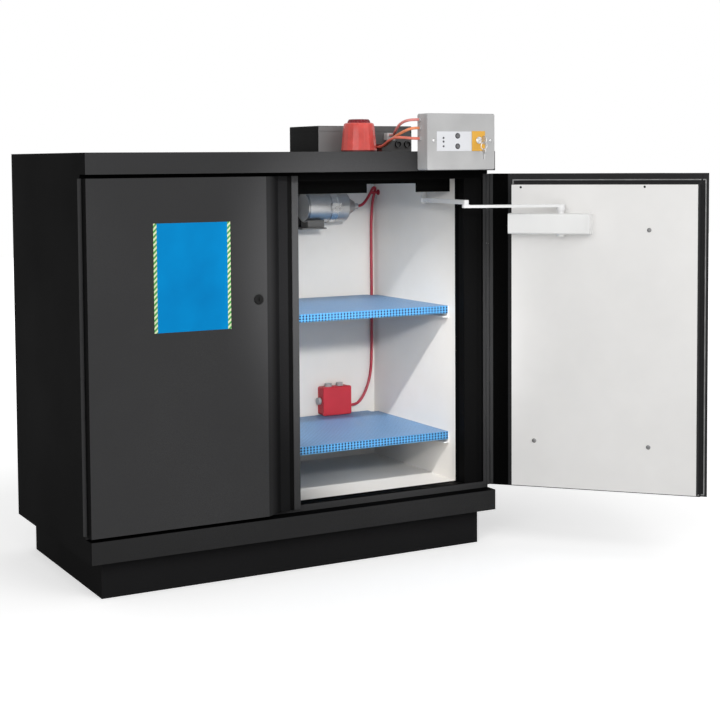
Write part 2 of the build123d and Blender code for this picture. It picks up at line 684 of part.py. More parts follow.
# ---------------------------------------------------------------- cables
def cord(name, points, radius):
    """A cable as straight runs with tangent arcs, as large as the runs allow."""
    radii = []
    for before, corner, after in zip(points, points[1:], points[2:]):
        arrive = Vector(*corner) - Vector(*before)
        leave = Vector(*after) - Vector(*corner)
        turn = math.radians(arrive.get_angle(leave))
        radii.append(0.45 * min(arrive.length, leave.length) / math.tan(turn / 2))
    path = FilletPolyline(*points, radius=radii)
    start = Plane(origin=path @ 0, z_dir=path % 0)
    tube = sweep(start * Circle(radius), path=path)
    section = math.pi * radius**2 * path.length
    print(name, "radii", [round(r, 1) for r in radii], "volume", round(tube.volume / section, 4))
    nodes[name] = tube


# Each point: from the right side, from the back board, and below the roof or above the body's
# underside.
FIRE_ROUTE_HIGH = [
    (153.0, 54.0, 150.0),
    (139.0, 54.0, 150.0),
    (116.0, 46.0, 131.0),
    (100.0, 38.5, 112.0),
    (90.5, 34.0, 99.0),
    (81.0, 30.5, 99.5),
    (77.5, 23.0, 107.5),
    (79.5, 14.5, 129.0),
    (82.0, 10.0, 166.0),
    (83.0, 9.0, 226.0),
]
FIRE_ROUTE_LOW = [
    (83.5, 10.0, 610.0),
    (83.0, 9.0, 510.0),
    (84.0, 10.0, 430.0),
    (84.5, 10.5, 360.0),
    (88.0, 11.5, 312.0),
    (97.0, 12.5, 276.0),
    (110.0, 13.5, 248.0),
    (128.0, 14.5, 224.0),
    (148.0, 15.0, 217.0),
    (166.0, 15.0, 217.0),
]
# Each point: from the right side, behind the front face, and above the roof.
SIGNAL_ROUTES = {
    "signal_cable_1": [
        (238.0, -12.0, 79.0),
        (258.0, -12.0, 79.0),
        (271.0, 2.0, 75.0),
        (273.0, 24.0, 67.0),
        (269.0, 46.0, 55.0),
        (258.0, 72.0, 48.0),
        (242.0, 104.0, 44.0),
        (224.0, 134.0, 42.5),
        (208.0, 160.0, 43.0),
        (208.0, 182.0, 43.0),
    ],
    "signal_cable_2": [
        (238.0, -14.0, 58.0),
        (258.0, -14.0, 58.0),
        (271.0, 0.0, 51.0),
        (275.5, 24.0, 42.0),
        (275.0, 52.0, 34.0),
        (273.0, 78.0, 24.0),
        (272.0, 103.0, 13.0),
        (272.0, 124.0, 13.0),
    ],
    "signal_cable_3": [
        (238.0, -14.0, 32.0),
        (258.0, -14.0, 32.0),
        (272.0, -1.0, 34.5),
        (283.5, 24.0, 35.0),
        (284.0, 52.0, 29.5),
        (281.5, 78.0, 20.5),
        (280.0, 103.0, 11.5),
        (280.0, 124.0, 11.5),
    ],
}


def build_cables():
    """Cables along hand-set routes, and the hook that the fire cable is folded over."""
    high = [(WIDTH - side, INNER_BACK - back, ROOF - drop) for side, back, drop in FIRE_ROUTE_HIGH]
    low = [(WIDTH - side, INNER_BACK - back, FLOOR + rise) for side, back, rise in FIRE_ROUTE_LOW]
    cord("fire_cable", high + low, FIRE_CABLE_RADIUS)
    for name, route in SIGNAL_ROUTES.items():
        points = [(WIDTH - side, back, ROOF + rise) for side, back, rise in route]
        cord(name, points, SIGNAL_CABLE_RADIUS)

    y, z = INNER_BACK - HOOK_BACK_GAP, ROOF - HOOK_DROP
    end = INNER_RIGHT - HOOK_REACH
    hook = rod_x(HOOK_RADIUS, end, INNER_RIGHT, y, z)
    hook += rod_x(HOOK_HEAD, end - HOOK_HEAD_THICK, end, y, z)
    hook += rod_x(HOOK_PLATE, INNER_RIGHT - HOOK_PLATE_THICK, INNER_RIGHT, y, z)
    nodes["cable_hook"] = hook


# ---------------------------------------------------------------- alarm unit
def build_control():
    """Control box on the upper fascia, with buttons, key switch and spare key."""
    x0, x1 = CONTROL_X, CONTROL_X + CONTROL_WIDTH
    z0 = ROOF - CONTROL_DROP
    z1 = z0 + CONTROL_HEIGHT
    box = block(x0, x1, -CONTROL_DEPTH, 0, z0, z1)
    box = fillet(box.edges().filter_by(Axis.Y), CONTROL_ROUND)
    box = chamfer(box.edges().group_by(Axis.Y)[0], 1.5)
    seam_y = -CONTROL_DEPTH + CONTROL_SEAM
    seam = block(x0 - 1, x1 + 1, seam_y - 0.6, seam_y + 0.6, z0 - 1, z1 + 1)
    core = block(x0 + 1.2, x1 - 1.2, seam_y - 1, seam_y + 1, z0 + 1.2, z1 - 1.2)
    box -= seam - core
    button_x = x0 + BUTTON_X
    for height in BUTTON_HEIGHTS:
        depth = -CONTROL_DEPTH - BUTTON_PROUD + BUTTON_LENGTH + BUTTON_TRAVEL + 0.5
        box -= rod_y(BUTTON_RADIUS + BUTTON_FIT, button_x, -CONTROL_DEPTH - 1, depth, z0 + height)
    box -= rod_y(
        SWITCH_RADIUS + SWITCH_FIT, x0 + SWITCH_X, -CONTROL_DEPTH - 1,
        -CONTROL_DEPTH + SWITCH_LENGTH, z0 + SWITCH_Z,
    )
    for route in SIGNAL_ROUTES.values():
        _, y, rise = route[0]
        box += rod_x(ENTRY_RADIUS, x0 - ENTRY_LENGTH, x0, y, ROOF + rise)
    nodes["control_box"] = box

    for index, height in enumerate(BUTTON_HEIGHTS, 1):
        front = -CONTROL_DEPTH - BUTTON_PROUD
        cap = rod_y(BUTTON_RADIUS, button_x, front, front + BUTTON_LENGTH, z0 + height)
        nodes[f"button_{index}"] = fillet(cap.edges().group_by(Axis.Y)[0], 0.8)

    sx, sz = x0 + SWITCH_X, z0 + SWITCH_Z
    face = -CONTROL_DEPTH - SWITCH_PROUD
    switch = rod_y(SWITCH_RADIUS, sx, face, -CONTROL_DEPTH + SWITCH_LENGTH, sz)
    switch = chamfer(switch.edges().group_by(Axis.Y)[0], 1)
    blade = block(sx - KEY_THICK / 2, sx + KEY_THICK / 2, face - KEY_REACH, face, sz - 4, sz + 4)
    head_y = face - KEY_REACH
    head = rod_x(KEY_HEAD, sx - KEY_THICK / 2, sx + KEY_THICK / 2, head_y, sz)
    head -= rod_x(KEY_HOLE, sx - KEY_THICK, sx + KEY_THICK, head_y, sz - KEY_HEAD / 2)
    nodes["key_switch"] = switch + blade + head

    ring_z = sz - KEY_HEAD / 2 - RING_RADIUS
    ring_plane = Plane(origin=(sx, head_y, ring_z), z_dir=(0, 1, 0))
    ring = ring_plane * Torus(RING_RADIUS, RING_WIRE)
    spare_z = ring_z - RING_RADIUS
    half = KEY_THICK / 2
    spare = rod_x(SPARE_HEAD, sx - half, sx + half, head_y, spare_z - SPARE_HEAD / 2)
    blade_top = spare_z - SPARE_HEAD
    spare += block(sx - half, sx + half, head_y - 3, head_y + 3, blade_top - SPARE_LENGTH, blade_top)
    nodes["key_ring"] = ring + spare


def build_roof_units():
    """Relay housing, connector and beacon on the roof."""
    x0 = WIDTH - RELAY_SIDE
    x1 = x0 + RELAY_WIDTH
    y0, y1 = RELAY_Y, RELAY_Y + RELAY_DEPTH
    relay = block(x0, x1, y0, y1, ROOF, ROOF + RELAY_HEIGHT)
    relay = fillet(relay.edges().filter_by(Axis.Z), RELAY_ROUND)
    relay = chamfer(relay.edges().group_by(Axis.Z)[-1], 1.5)
    relay -= block(
        x0 + WINDOW_START, x0 + WINDOW_END, y0 - 1, y0 + WINDOW_DEPTH,
        ROOF + WINDOW_BOTTOM, ROOF + WINDOW_TOP,
    )
    seam_z = ROOF + RELAY_HEIGHT - RELAY_LID
    seam = block(x0 - 1, x0 + WINDOW_START - 4, y0 - 1, y1 + 1, seam_z - 0.6, seam_z + 0.6)
    relay -= seam - block(x0 + 1.2, x1, y0 + 1.2, y1 - 1.2, seam_z - 1, seam_z + 1)
    for place in SOCKET_PLACES:
        x, z = x0 + place, ROOF + SOCKET_Z
        relay += rod_y(SOCKET_RADIUS, x, y0 - SOCKET_LENGTH, y0, z)
        relay -= rod_y(SOCKET_RADIUS - SOCKET_WALL, x, y0 - SOCKET_LENGTH - 1, y0, z)
    nodes["relay_box"] = relay

    plug_x, plug_z = x0 + CONNECTOR_PLACE, ROOF + CONNECTOR_Z
    plug = block(
        plug_x, plug_x + CONNECTOR_WIDTH, y0 - CONNECTOR_DEPTH, y0,
        plug_z, plug_z + CONNECTOR_HEIGHT,
    )
    nodes["connector"] = fillet(plug.edges().filter_by(Axis.Y), 2)

    entry_y = BEACON_Y - ENTRY_BLOCK_FRONT
    entry = block(
        BEACON_X + ENTRY_BLOCK_START, BEACON_X + ENTRY_BLOCK_END,
        entry_y, entry_y + ENTRY_BLOCK_DEPTH, ROOF, ROOF + ENTRY_BLOCK_HEIGHT,
    )
    entry = fillet(entry.edges().group_by(Axis.Z)[-1], 2)
    foot = upright(BEACON_LOW, BEACON_X, BEACON_Y, ROOF, ROOF + BEACON_FOOT)
    nodes["beacon_base"] = foot + entry
    rings = (
        (BEACON_LOW, BEACON_FOOT),
        (BEACON_HIGH, BEACON_SHOULDER),
        (BEACON_CAP_LOW, BEACON_SHOULDER),
        (BEACON_CAP_HIGH, BEACON_HEIGHT),
    )
    low, shoulder, cap_low, cap_high = [
        Pos(BEACON_X, BEACON_Y, ROOF + rise) * Circle(radius) for radius, rise in rings
    ]
    nodes["beacon_lens"] = loft([low, shoulder]) + loft([cap_low, cap_high]) - entry


def write_nodes():
    """One STEP file for each node, about the origin on the floor."""
    os.makedirs("parts", exist_ok=True)
    for name, shape in nodes.items():
        placed = Pos(-WIDTH / 2, -DEPTH / 2, 0) * shape
        export_step(placed, os.path.join("parts", name + ".step"))


build_body()
build_doors()
build_closers()
for shelf_level, shelf_top in SHELF_TOPS.items():
    build_shelf(shelf_level, shelf_top)
build_drop_plate()
build_generator()
build_junction()
build_cables()
build_control()
build_roof_units()
write_nodes()
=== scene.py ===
"""Looks of the battery cabinet: camera, cables, finishes and small detail, in metres."""

import json
import math

import bmesh
import bpy
from mathutils import Matrix, Vector


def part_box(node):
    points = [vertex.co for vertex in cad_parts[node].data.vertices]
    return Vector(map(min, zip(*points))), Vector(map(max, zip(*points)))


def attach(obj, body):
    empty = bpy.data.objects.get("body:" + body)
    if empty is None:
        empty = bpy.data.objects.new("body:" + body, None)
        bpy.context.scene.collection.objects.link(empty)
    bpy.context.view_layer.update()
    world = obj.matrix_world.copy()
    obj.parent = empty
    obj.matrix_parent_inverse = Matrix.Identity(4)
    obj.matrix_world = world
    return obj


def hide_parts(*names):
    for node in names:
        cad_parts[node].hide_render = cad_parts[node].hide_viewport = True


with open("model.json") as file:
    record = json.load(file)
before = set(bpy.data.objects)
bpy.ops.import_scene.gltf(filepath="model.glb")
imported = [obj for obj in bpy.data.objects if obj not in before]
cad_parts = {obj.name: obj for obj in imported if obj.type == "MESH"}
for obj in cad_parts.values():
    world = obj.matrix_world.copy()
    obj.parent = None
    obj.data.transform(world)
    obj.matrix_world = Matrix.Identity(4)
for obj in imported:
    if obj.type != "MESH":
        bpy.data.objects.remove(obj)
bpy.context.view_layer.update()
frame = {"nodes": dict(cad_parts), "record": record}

(LEFT_X, FRONT_Y, _), (RIGHT_X, _, _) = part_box("band_top")
ROOF_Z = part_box("wall_top")[1][2]
HINGE_Y = FRONT_Y + 0.0365              # axis of both doors' hinges, at the cabinet's sides
DOOR_TURN = math.radians(133.0)         # how far the right door stands open at rest
CEILING_Z = ROOF_Z - 0.069              # underside of the top wall
PLATE_EDGE_Z = ROOF_Z - 0.105           # lower edge of the plate under the ceiling


# ---------------------------------------------------------------- camera
LENS = 75.025               # in millimetres, on a sensor 36 wide
SHIFT_Y = -0.15278
CAMERA_PLACE = (-1.6251, -3.5265, 1.007)
YAW, PITCH, ROLL = 0.501897, 0.060388, -0.006491        # in radians


def make_camera():
    """Camera at about the height of the roof, in front of the cabinet and left of it."""
    data = bpy.data.cameras.new("camera")
    data.sensor_width = 36.0
    data.lens = LENS
    data.shift_y = SHIFT_Y
    data.clip_end = 50.0
    camera = bpy.data.objects.new("camera", data)
    bpy.context.collection.objects.link(camera)
    look = Vector((
        math.sin(YAW) * math.cos(PITCH),
        math.cos(YAW) * math.cos(PITCH),
        -math.sin(PITCH),
    ))
    right = Vector((math.cos(YAW), -math.sin(YAW), 0.0))
    up = right.cross(look)
    turned_right = math.cos(ROLL) * right + math.sin(ROLL) * up
    turned_up = -math.sin(ROLL) * right + math.cos(ROLL) * up
    turn = Matrix((turned_right, turned_up, -look)).transposed().to_4x4()
    camera.matrix_world = Matrix.Translation(CAMERA_PLACE) @ turn
    bpy.context.scene.camera = camera


# ---------------------------------------------------------------- node helpers
CLOUD = (0.3, 0.7)          # spans of a noise that are stretched to 0..1
GRAIN = (0.35, 0.65)


def shade(color, factor):
    """A lighter or darker version of a colour."""
    return tuple(min(1.0, c * factor) for c in color)


class Shade:
    """A material with a Principled shader, and short ways to build its node tree."""

    def __init__(self, name, color, rough=0.5, metal=0.0, gloss=0.5):
        self.mat = bpy.data.materials.new(name)
        self.mat.use_nodes = True
        self.tree = self.mat.node_tree
        self.bsdf = self.tree.nodes["Principled BSDF"]
        self.bsdf.inputs["Base Color"].default_value = (*color, 1.0)
        self.bsdf.inputs["Roughness"].default_value = rough
        self.bsdf.inputs["Metallic"].default_value = metal
        self.bsdf.inputs["Specular IOR Level"].default_value = gloss
        self.coords = self.node("ShaderNodeTexCoord").outputs["Object"]

    def node(self, kind, **settings):
        made = self.tree.nodes.new(kind)
        for key, value in settings.items():
            setattr(made, key, value)
        return made

    def link(self, out, into):
        self.tree.links.new(out, into)

    def scaled(self, scale):
        """Object coordinates, stretched along each axis."""
        mapping = self.node("ShaderNodeMapping")
        mapping.inputs["Scale"].default_value = scale
        self.link(self.coords, mapping.inputs["Vector"])
        return mapping.outputs["Vector"]

    def noise(self, scale, detail=2.0, rough=0.5, stretch=None):
        """Noise from 0 to 1; scale counts its features in a metre."""
        tex = self.node("ShaderNodeTexNoise")
        tex.inputs["Scale"].default_value = scale
        tex.inputs["Detail"].default_value = detail
        tex.inputs["Roughness"].default_value = rough
        vector = self.scaled(stretch) if stretch else self.coords
        self.link(vector, tex.inputs["Vector"])
        return tex.outputs["Fac"]

    def math(self, operation, *values):
        """A sum on one or two values, each a number or an output."""
        made = self.node("ShaderNodeMath", operation=operation)
        for index, value in enumerate(values):
            if isinstance(value, (int, float)):
                made.inputs[index].default_value = value
            else:
                self.link(value, made.inputs[index])
        return made.outputs[0]

    def ramp(self, fac, low, high):
        """0 to 1 as the input goes from low to high, and no further."""
        made = self.node("ShaderNodeMapRange")
        made.inputs["From Min"].default_value = low
        made.inputs["From Max"].default_value = high
        self.link(fac, made.inputs["Value"])
        return made.outputs["Result"]

    def length(self, a, b):
        """The square root of the sum of two squares."""
        squares = [self.math("MULTIPLY", value, value) for value in (a, b)]
        return self.math("SQRT", self.math("ADD", *squares))

    def mix(self, fac, first, second):
        """From the first colour to the second; each is a tuple or an output."""
        made = self.node("ShaderNodeMix", data_type="RGBA")
        if isinstance(fac, (int, float)):
            made.inputs["Factor"].default_value = fac
        else:
            self.link(fac, made.inputs["Factor"])
        for key, value in (("A", first), ("B", second)):
            socket = next(s for s in made.inputs if s.name == key and s.type == "RGBA")
            if isinstance(value, tuple):
                socket.default_value = (*value, 1.0)
            else:
                self.link(value, socket)
        return next(s for s in made.outputs if s.type == "RGBA")

    def blotched(self, fac, color, dark, light, span=CLOUD):
        """A colour that goes from darker to lighter than itself with a noise."""
        return self.mix(self.ramp(fac, *span), shade(color, dark), shade(color, light))

    def paint(self, color):
        self.link(color, self.bsdf.inputs["Base Color"])

    def roughness(self, fac, low, high):
        made = self.node("ShaderNodeMapRange")
        made.inputs["To Min"].default_value = low
        made.inputs["To Max"].default_value = high
        self.link(fac, made.inputs["Value"])
        self.link(made.outputs["Result"], self.bsdf.inputs["Roughness"])

    def bump(self, height, distance, strength):
        made = self.node("ShaderNodeBump")
        made.inputs["Distance"].default_value = distance
        made.inputs["Strength"].default_value = strength
        self.link(height, made.inputs["Height"])
        self.link(made.outputs["Normal"], self.bsdf.inputs["Normal"])

    def split(self):
        """X, Y and Z of the object coordinates."""
        made = self.node("ShaderNodeSeparateXYZ")
        self.link(self.coords, made.inputs[0])
        return made.outputs

    def normal(self):
        """X, Y and Z of the object's own normal, which turns with its body."""
        made = self.node("ShaderNodeSeparateXYZ")
        self.link(self.node("ShaderNodeTexCoord").outputs["Normal"], made.inputs[0])
        return made.outputs

    def faces_front(self, low, high):
        """1 where the surface looks forward, 0 where it looks aside."""
        return self.ramp(self.math("MULTIPLY", self.normal()["Y"], -1.0), low, high)


# ---------------------------------------------------------------- finishes
COAT_GLOSS = 0.008
# near-black: painted shade on the cabinet's sides, top, back and returns; also the black of the
# ceiling board's front faces
SHADE_AND_EDGE_BLACK = (0.0028, 0.0028, 0.0029)
FRONT_GREY = (0.046, 0.046, 0.047)
BOARD = (0.80, 0.79, 0.775)


def powder_coat(name, color):
    """Fine-textured powder coat with slight cloudiness."""
    s = Shade(name, color, 0.55, gloss=COAT_GLOSS)
    grain = s.noise(900.0, 3.0, 0.6)
    cloud = s.noise(5.0, 3.0)
    fine = s.blotched(grain, color, 0.8, 1.25, GRAIN)
    s.paint(s.mix(0.5, fine, s.blotched(cloud, color, 0.9, 1.1)))
    s.roughness(cloud, 0.49, 0.61)
    s.bump(grain, 0.00012, 0.6)
    return s.mat


def smooth_paint(name, color, rough=0.35):
    """Smooth paint with a trace of orange peel."""
    s = Shade(name, color, rough)
    cloud = s.noise(6.0, 2.0)
    s.paint(s.blotched(cloud, color, 0.95, 1.04))
    s.roughness(cloud, rough - 0.05, rough + 0.05)
    s.bump(s.noise(160.0, 2.0), 0.00006, 0.4)
    return s.mat


def moulded(name, color, rough=0.45, grain=1400.0, gloss=0.3):
    """Moulded plastic with a fine grain."""
    s = Shade(name, color, rough, gloss=gloss)
    cloud = s.noise(14.0, 2.0)
    s.paint(s.blotched(cloud, color, 0.93, 1.06))
    s.roughness(cloud, rough - 0.05, rough + 0.07)
    s.bump(s.noise(grain, 2.0), 0.00003, 0.5)
    return s.mat


def board_coat(name, color):
    """White coated board: satin, faintly mottled, with a soft grain."""
    s = Shade(name, color, 0.42)
    cloud = s.noise(3.5, 4.0, 0.6)
    s.paint(s.blotched(cloud, color, 0.95, 1.03))
    s.roughness(cloud, 0.38, 0.5)
    s.bump(s.noise(420.0, 2.0), 0.00004, 0.35)
    return s.mat


def brushed(name, color, rough, stretch, streak=0.18):
    """Brushed steel: long fine streaks across the stretch direction."""
    s = Shade(name, color, rough, 1.0)
    lines = s.noise(60.0, 6.0, 0.7, stretch)
    s.paint(s.blotched(lines, color, 1 - streak, 1 + streak))
    s.roughness(s.noise(9.0, 2.0), rough - 0.06, rough + 0.1)
    s.bump(lines, 0.00003, 0.5)
    return s.mat


def rubber(name, color, rough=0.6):
    """Matt rubber with slight dust and grain."""
    s = Shade(name, color, rough, gloss=0.05)
    dust = s.noise(30.0, 4.0, 0.7)
    s.paint(s.blotched(dust, color, 1.0, 1.5, (0.45, 0.75)))
    s.roughness(dust, rough - 0.05, rough + 0.1)
    s.bump(s.noise(700.0, 3.0), 0.00005, 0.5)
    return s.mat


def cable_jacket(name, color):
    """Glossy cable jacket with a slight run of tone along it."""
    s = Shade(name, color, 0.38)
    tone = s.noise(45.0, 3.0)
    s.paint(s.blotched(tone, color, 0.85, 1.12, GRAIN))
    s.roughness(tone, 0.32, 0.45)
    s.bump(s.noise(900.0, 2.0), 0.00003, 0.4)
    return s.mat


def perforated_lit_and_shaded(name, color, lip, pitches, hole):
    """Painted sheet with a grid of round holes. Its level faces and its upright lip take lit and
    shaded copies of the blue, painted light and painted shade, and its holes are painted dark as
    painted shade.
    """
    s = Shade(name, color, 0.4, gloss=0.3)
    x, y, z = s.split()
    rows = s.math("ABSOLUTE", s.math("SUBTRACT", y, z))
    offsets = []
    for value, pitch in zip((x, rows), pitches):
        cell = s.math("FRACT", s.math("DIVIDE", value, pitch))
        offsets.append(s.math("MULTIPLY", s.math("SUBTRACT", cell, 0.5), pitch / hole))
    solid = s.ramp(s.length(*offsets), 0.45, 0.55)
    cloud = s.noise(8.0, 2.0)
    # level faces take the lighter copy of the blue as painted light, the upright lip the deeper
    # copy as painted shade
    lit_level_faces = s.ramp(s.math("ABSOLUTE", s.normal()["Z"]), 0.4, 0.6)
    coat = s.mix(lit_level_faces, s.blotched(cloud, lip, 0.95, 1.05), s.blotched(cloud, color, 0.9, 1.06))
    # holes: painted shade, darkest on the lip
    holes = s.mix(lit_level_faces, shade(lip, 0.03), shade(color, 0.45))
    s.paint(s.mix(solid, holes, coat))
    s.roughness(cloud, 0.36, 0.46)
    s.bump(solid, 0.0006, 0.6)
    return s.mat


def body_paint_and_shade(name, front, depth, rest=SHADE_AND_EDGE_BLACK, recess_shade=None):
    """Outer paint: grey where it faces front within a depth. The near-black on every face that
    doesn't look forward (sides, top, back and returns) is painted shade, and the set-back colour
    on front faces behind that depth is painted shade in recesses.
    """
    s = Shade(name, rest, 0.62, gloss=COAT_GLOSS)
    front_facing = s.faces_front(0.75, 0.95)
    proud = s.ramp(s.split()["Y"], FRONT_Y + depth, FRONT_Y + 0.3 * depth)
    grain = s.noise(900.0, 3.0, 0.6)
    speckle = s.noise(2600.0, 2.0, 0.6)
    cloud = s.noise(5.0, 3.0)
    texture = s.math("ADD", s.math("MULTIPLY", grain, 0.6), s.math("MULTIPLY", speckle, 0.4))
    # the near-black and set-back colours are painted shade; the front colour is the paint itself
    coats = []
    for color in (rest, recess_shade or rest, front):
        coat = s.blotched(texture, color, 0.72, 1.3, (0.38, 0.62))
        coats.append(s.mix(s.ramp(cloud, *CLOUD), shade(color, 0.92), coat))
    aside, recess_shade_coat, ahead = coats
    s.paint(s.mix(proud, s.mix(front_facing, aside, recess_shade_coat), s.mix(front_facing, aside, ahead)))
    s.roughness(cloud, 0.56, 0.7)
    s.bump(grain, 0.00012, 0.6)
    return s.mat


def open_door_paint_and_shade(name, grey, dark):
    """Outer paint of the right door: grey on its face and beyond; the black near its hinge is
    painted shade.
    """
    s = Shade(name, grey, 0.62, gloss=COAT_GLOSS)
    x, y, _ = s.split()
    # within this distance of the hinge axis, except on its outward face, the door is painted black
    # as painted shade
    away = s.length(s.math("SUBTRACT", x, RIGHT_X), s.math("SUBTRACT", y, HINGE_Y))
    far = s.ramp(away, 0.0535, 0.0555)
    normal = s.normal()
    outward = s.math("ADD", s.math("MULTIPLY", normal["X"], math.sin(DOOR_TURN)),
                     s.math("MULTIPLY", normal["Y"], -math.cos(DOOR_TURN)))
    far = s.math("MAXIMUM", far, s.ramp(outward, 0.7, 0.9))
    grain = s.noise(900.0, 3.0, 0.6)
    hinge_shade_coat = s.blotched(grain, dark, 0.7, 1.4, GRAIN)
    s.paint(s.mix(far, hinge_shade_coat, s.blotched(grain, grey, 0.75, 1.3, GRAIN)))
    s.roughness(s.noise(5.0, 3.0), 0.56, 0.7)
    s.bump(grain, 0.00012, 0.6)
    return s.mat


def edged_board(name, color):
    """White coated board whose front-facing faces are black."""
    s = Shade(name, color, 0.42)
    cloud = s.noise(3.5, 4.0, 0.6)
    s.paint(s.mix(s.faces_front(0.6, 0.9), s.blotched(cloud, color, 0.95, 1.03), SHADE_AND_EDGE_BLACK))
    s.roughness(cloud, 0.38, 0.5)
    s.bump(s.noise(420.0, 2.0), 0.00004, 0.35)
    return s.mat


def plate_with_foot(name, dark, pale):
    """Black plate whose studs, below its lower edge, are pale."""
    s = Shade(name, dark, 0.6, gloss=0.02)
    low = s.ramp(s.split()["Z"], PLATE_EDGE_Z + 0.0004, PLATE_EDGE_Z - 0.0004)
    grain = s.noise(900.0, 3.0, 0.6)
    upper = s.blotched(grain, dark, 0.8, 1.3, GRAIN)
    s.paint(s.mix(low, upper, s.blotched(grain, pale, 0.96, 1.04, GRAIN)))
    s.roughness(s.noise(9.0, 2.0), 0.42, 0.55)
    s.bump(grain, 0.00006, 0.4)
    return s.mat


def relay_light_and_shade(name, near, far, sides):
    """Black housing whose front is painted grey as painted light, darkening along it as painted
    shade; the sides stay black.
    """
    s = Shade(name, sides, 0.6, gloss=0.05)
    low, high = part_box("relay_box")
    # the front darkens from its near to its far end: painted shade
    along = s.ramp(s.split()["X"], low[0] + 0.05, high[0] - 0.03)
    grain = s.noise(500.0, 3.0)
    fine = s.blotched(grain, sides, 0.8, 1.3, GRAIN)
    s.paint(s.mix(s.faces_front(0.6, 0.9), fine, s.mix(along, near, far)))
    s.roughness(s.noise(9.0, 2.0), 0.52, 0.68)
    s.bump(grain, 0.00008, 0.5)
    return s.mat


def lens_plastic(name, color):
    """Coloured lens plastic that glows a little where light passes through it."""
    s = Shade(name, color, 0.3, gloss=0.25)
    tone = s.noise(35.0, 3.0)
    s.paint(s.blotched(tone, color, 0.88, 1.1))
    s.roughness(tone, 0.18, 0.32)
    s.bsdf.inputs["Subsurface Weight"].default_value = 0.25
    s.bsdf.inputs["Subsurface Radius"].default_value = (0.02, 0.006, 0.005)
    s.bump(s.noise(300.0, 2.0), 0.00005, 0.3)
    return s.mat


MATERIALS = {
    "painted_dark": powder_coat("coat_grey", FRONT_GREY),
    # on these outer coats the near-black off the front and the darker set-back fronts are painted
    # shade
    "door_left": body_paint_and_shade("coat_door", FRONT_GREY, 0.02, recess_shade=(0.0125, 0.0125, 0.013)),
    # right door: the near-black next to its hinge is painted shade
    "door_right": open_door_paint_and_shade("coat_open_door", (0.034, 0.034, 0.035), (0.002, 0.002, 0.002)),
    "body": body_paint_and_shade("coat_body", FRONT_GREY, 0.03),
    "band_low": body_paint_and_shade("coat_band_low", (0.029, 0.029, 0.0295), 0.03),
    "frame_side": body_paint_and_shade("coat_frame", FRONT_GREY, 0.03, recess_shade=(0.0055, 0.0055, 0.0056)),
    "frame_low": body_paint_and_shade("coat_frame_low", FRONT_GREY, 0.03, recess_shade=(0.045, 0.045, 0.046)),
    "strip_grey": powder_coat("coat_strip", (0.048, 0.048, 0.049)),
    "plinth_dark": body_paint_and_shade("coat_plinth", FRONT_GREY, 0.03, recess_shade=(0.0145, 0.0145, 0.015)),
    "board_white": board_coat("board_coat", BOARD),
    "seal_black": rubber("seal_rubber", (0.0015, 0.0015, 0.0015)),
    "plate_black": plate_with_foot("coat_black", (0.002, 0.002, 0.002), (0.62, 0.62, 0.61)),
    "liner_white": board_coat("liner_coat", (0.84, 0.805, 0.755)),
    "board_edged": edged_board("board_edge_coat", BOARD),
    "bracket_grey": brushed("bracket_steel", (0.13, 0.13, 0.13), 0.45, (1.0, 26.0, 26.0), 0.1),
    "hook_red": moulded("hook_plastic", (0.36, 0.028, 0.045)),
    # shelf: the lip's deeper blue and the lighter level faces are painted shade and light on one
    # blue
    "shelf_blue": perforated_lit_and_shaded(
        "shelf_coat", (0.165, 0.325, 0.56), (0.08, 0.29, 0.57), (0.0090, 0.0068), 0.0052
    ),
    "rest_white": smooth_paint("rest_coat", (0.75, 0.75, 0.74)),
    "canister_steel": brushed("canister_steel", (0.5, 0.5, 0.5), 0.34, (1.0, 26.0, 26.0)),
    "strap_steel": brushed("strap_steel", (0.6, 0.6, 0.6), 0.25, (26.0, 1.0, 1.0)),
    "fire_cable_red": cable_jacket("fire_jacket", (0.40, 0.025, 0.045)),
    "gland_grey": moulded("gland_plastic", (0.46, 0.46, 0.46)),
    "junction_red": moulded("junction_plastic", (0.56, 0.035, 0.050)),
    "closer_white": smooth_paint("closer_coat", (0.82, 0.82, 0.81)),
    "arm_steel": smooth_paint("arm_coat", (0.80, 0.80, 0.80), 0.3),
    "lock_black": moulded("lock_plastic", (0.002, 0.002, 0.002), 0.4, gloss=0.15),
    "control_grey": moulded("control_plastic", (0.50, 0.50, 0.50), 0.5, 700.0),
    "button_grey": moulded("button_plastic", (0.16, 0.16, 0.165)),
    "key_metal": brushed("key_metal", (0.62, 0.62, 0.62), 0.25, (8.0, 8.0, 1.0), 0.1),
    # relay: the grey front and its darkening run are painted light and shade on a black housing
    "relay_black": relay_light_and_shade(
        "relay_painted_light", (0.25, 0.25, 0.25), (0.13, 0.13, 0.13), (0.008, 0.008, 0.008)
    ),
    "connector_white": moulded("connector_plastic", (0.78, 0.78, 0.77), 0.35),
    "beacon_dark": moulded("beacon_foot", (0.10, 0.012, 0.010), 0.35),
    "beacon_red": lens_plastic("beacon_lens_red", (0.76, 0.100, 0.085)),
    "signal_cable_pink": cable_jacket("signal_pink", (0.78, 0.27, 0.25)),
    "signal_cable_orange": cable_jacket("signal_orange", (0.88, 0.29, 0.13)),
    "signal_cable_red": cable_jacket("signal_red", (0.80, 0.20, 0.14)),
    # bead: a painted highlight on the edge of each door's inner box
    "bead_grey": rubber("bead_painted_highlight", (0.30, 0.30, 0.30), 0.5),
    "fixing_grey": brushed("fixing_steel", (0.20, 0.20, 0.20), 0.45, (10.0, 1.0, 1.0), 0.1),
}

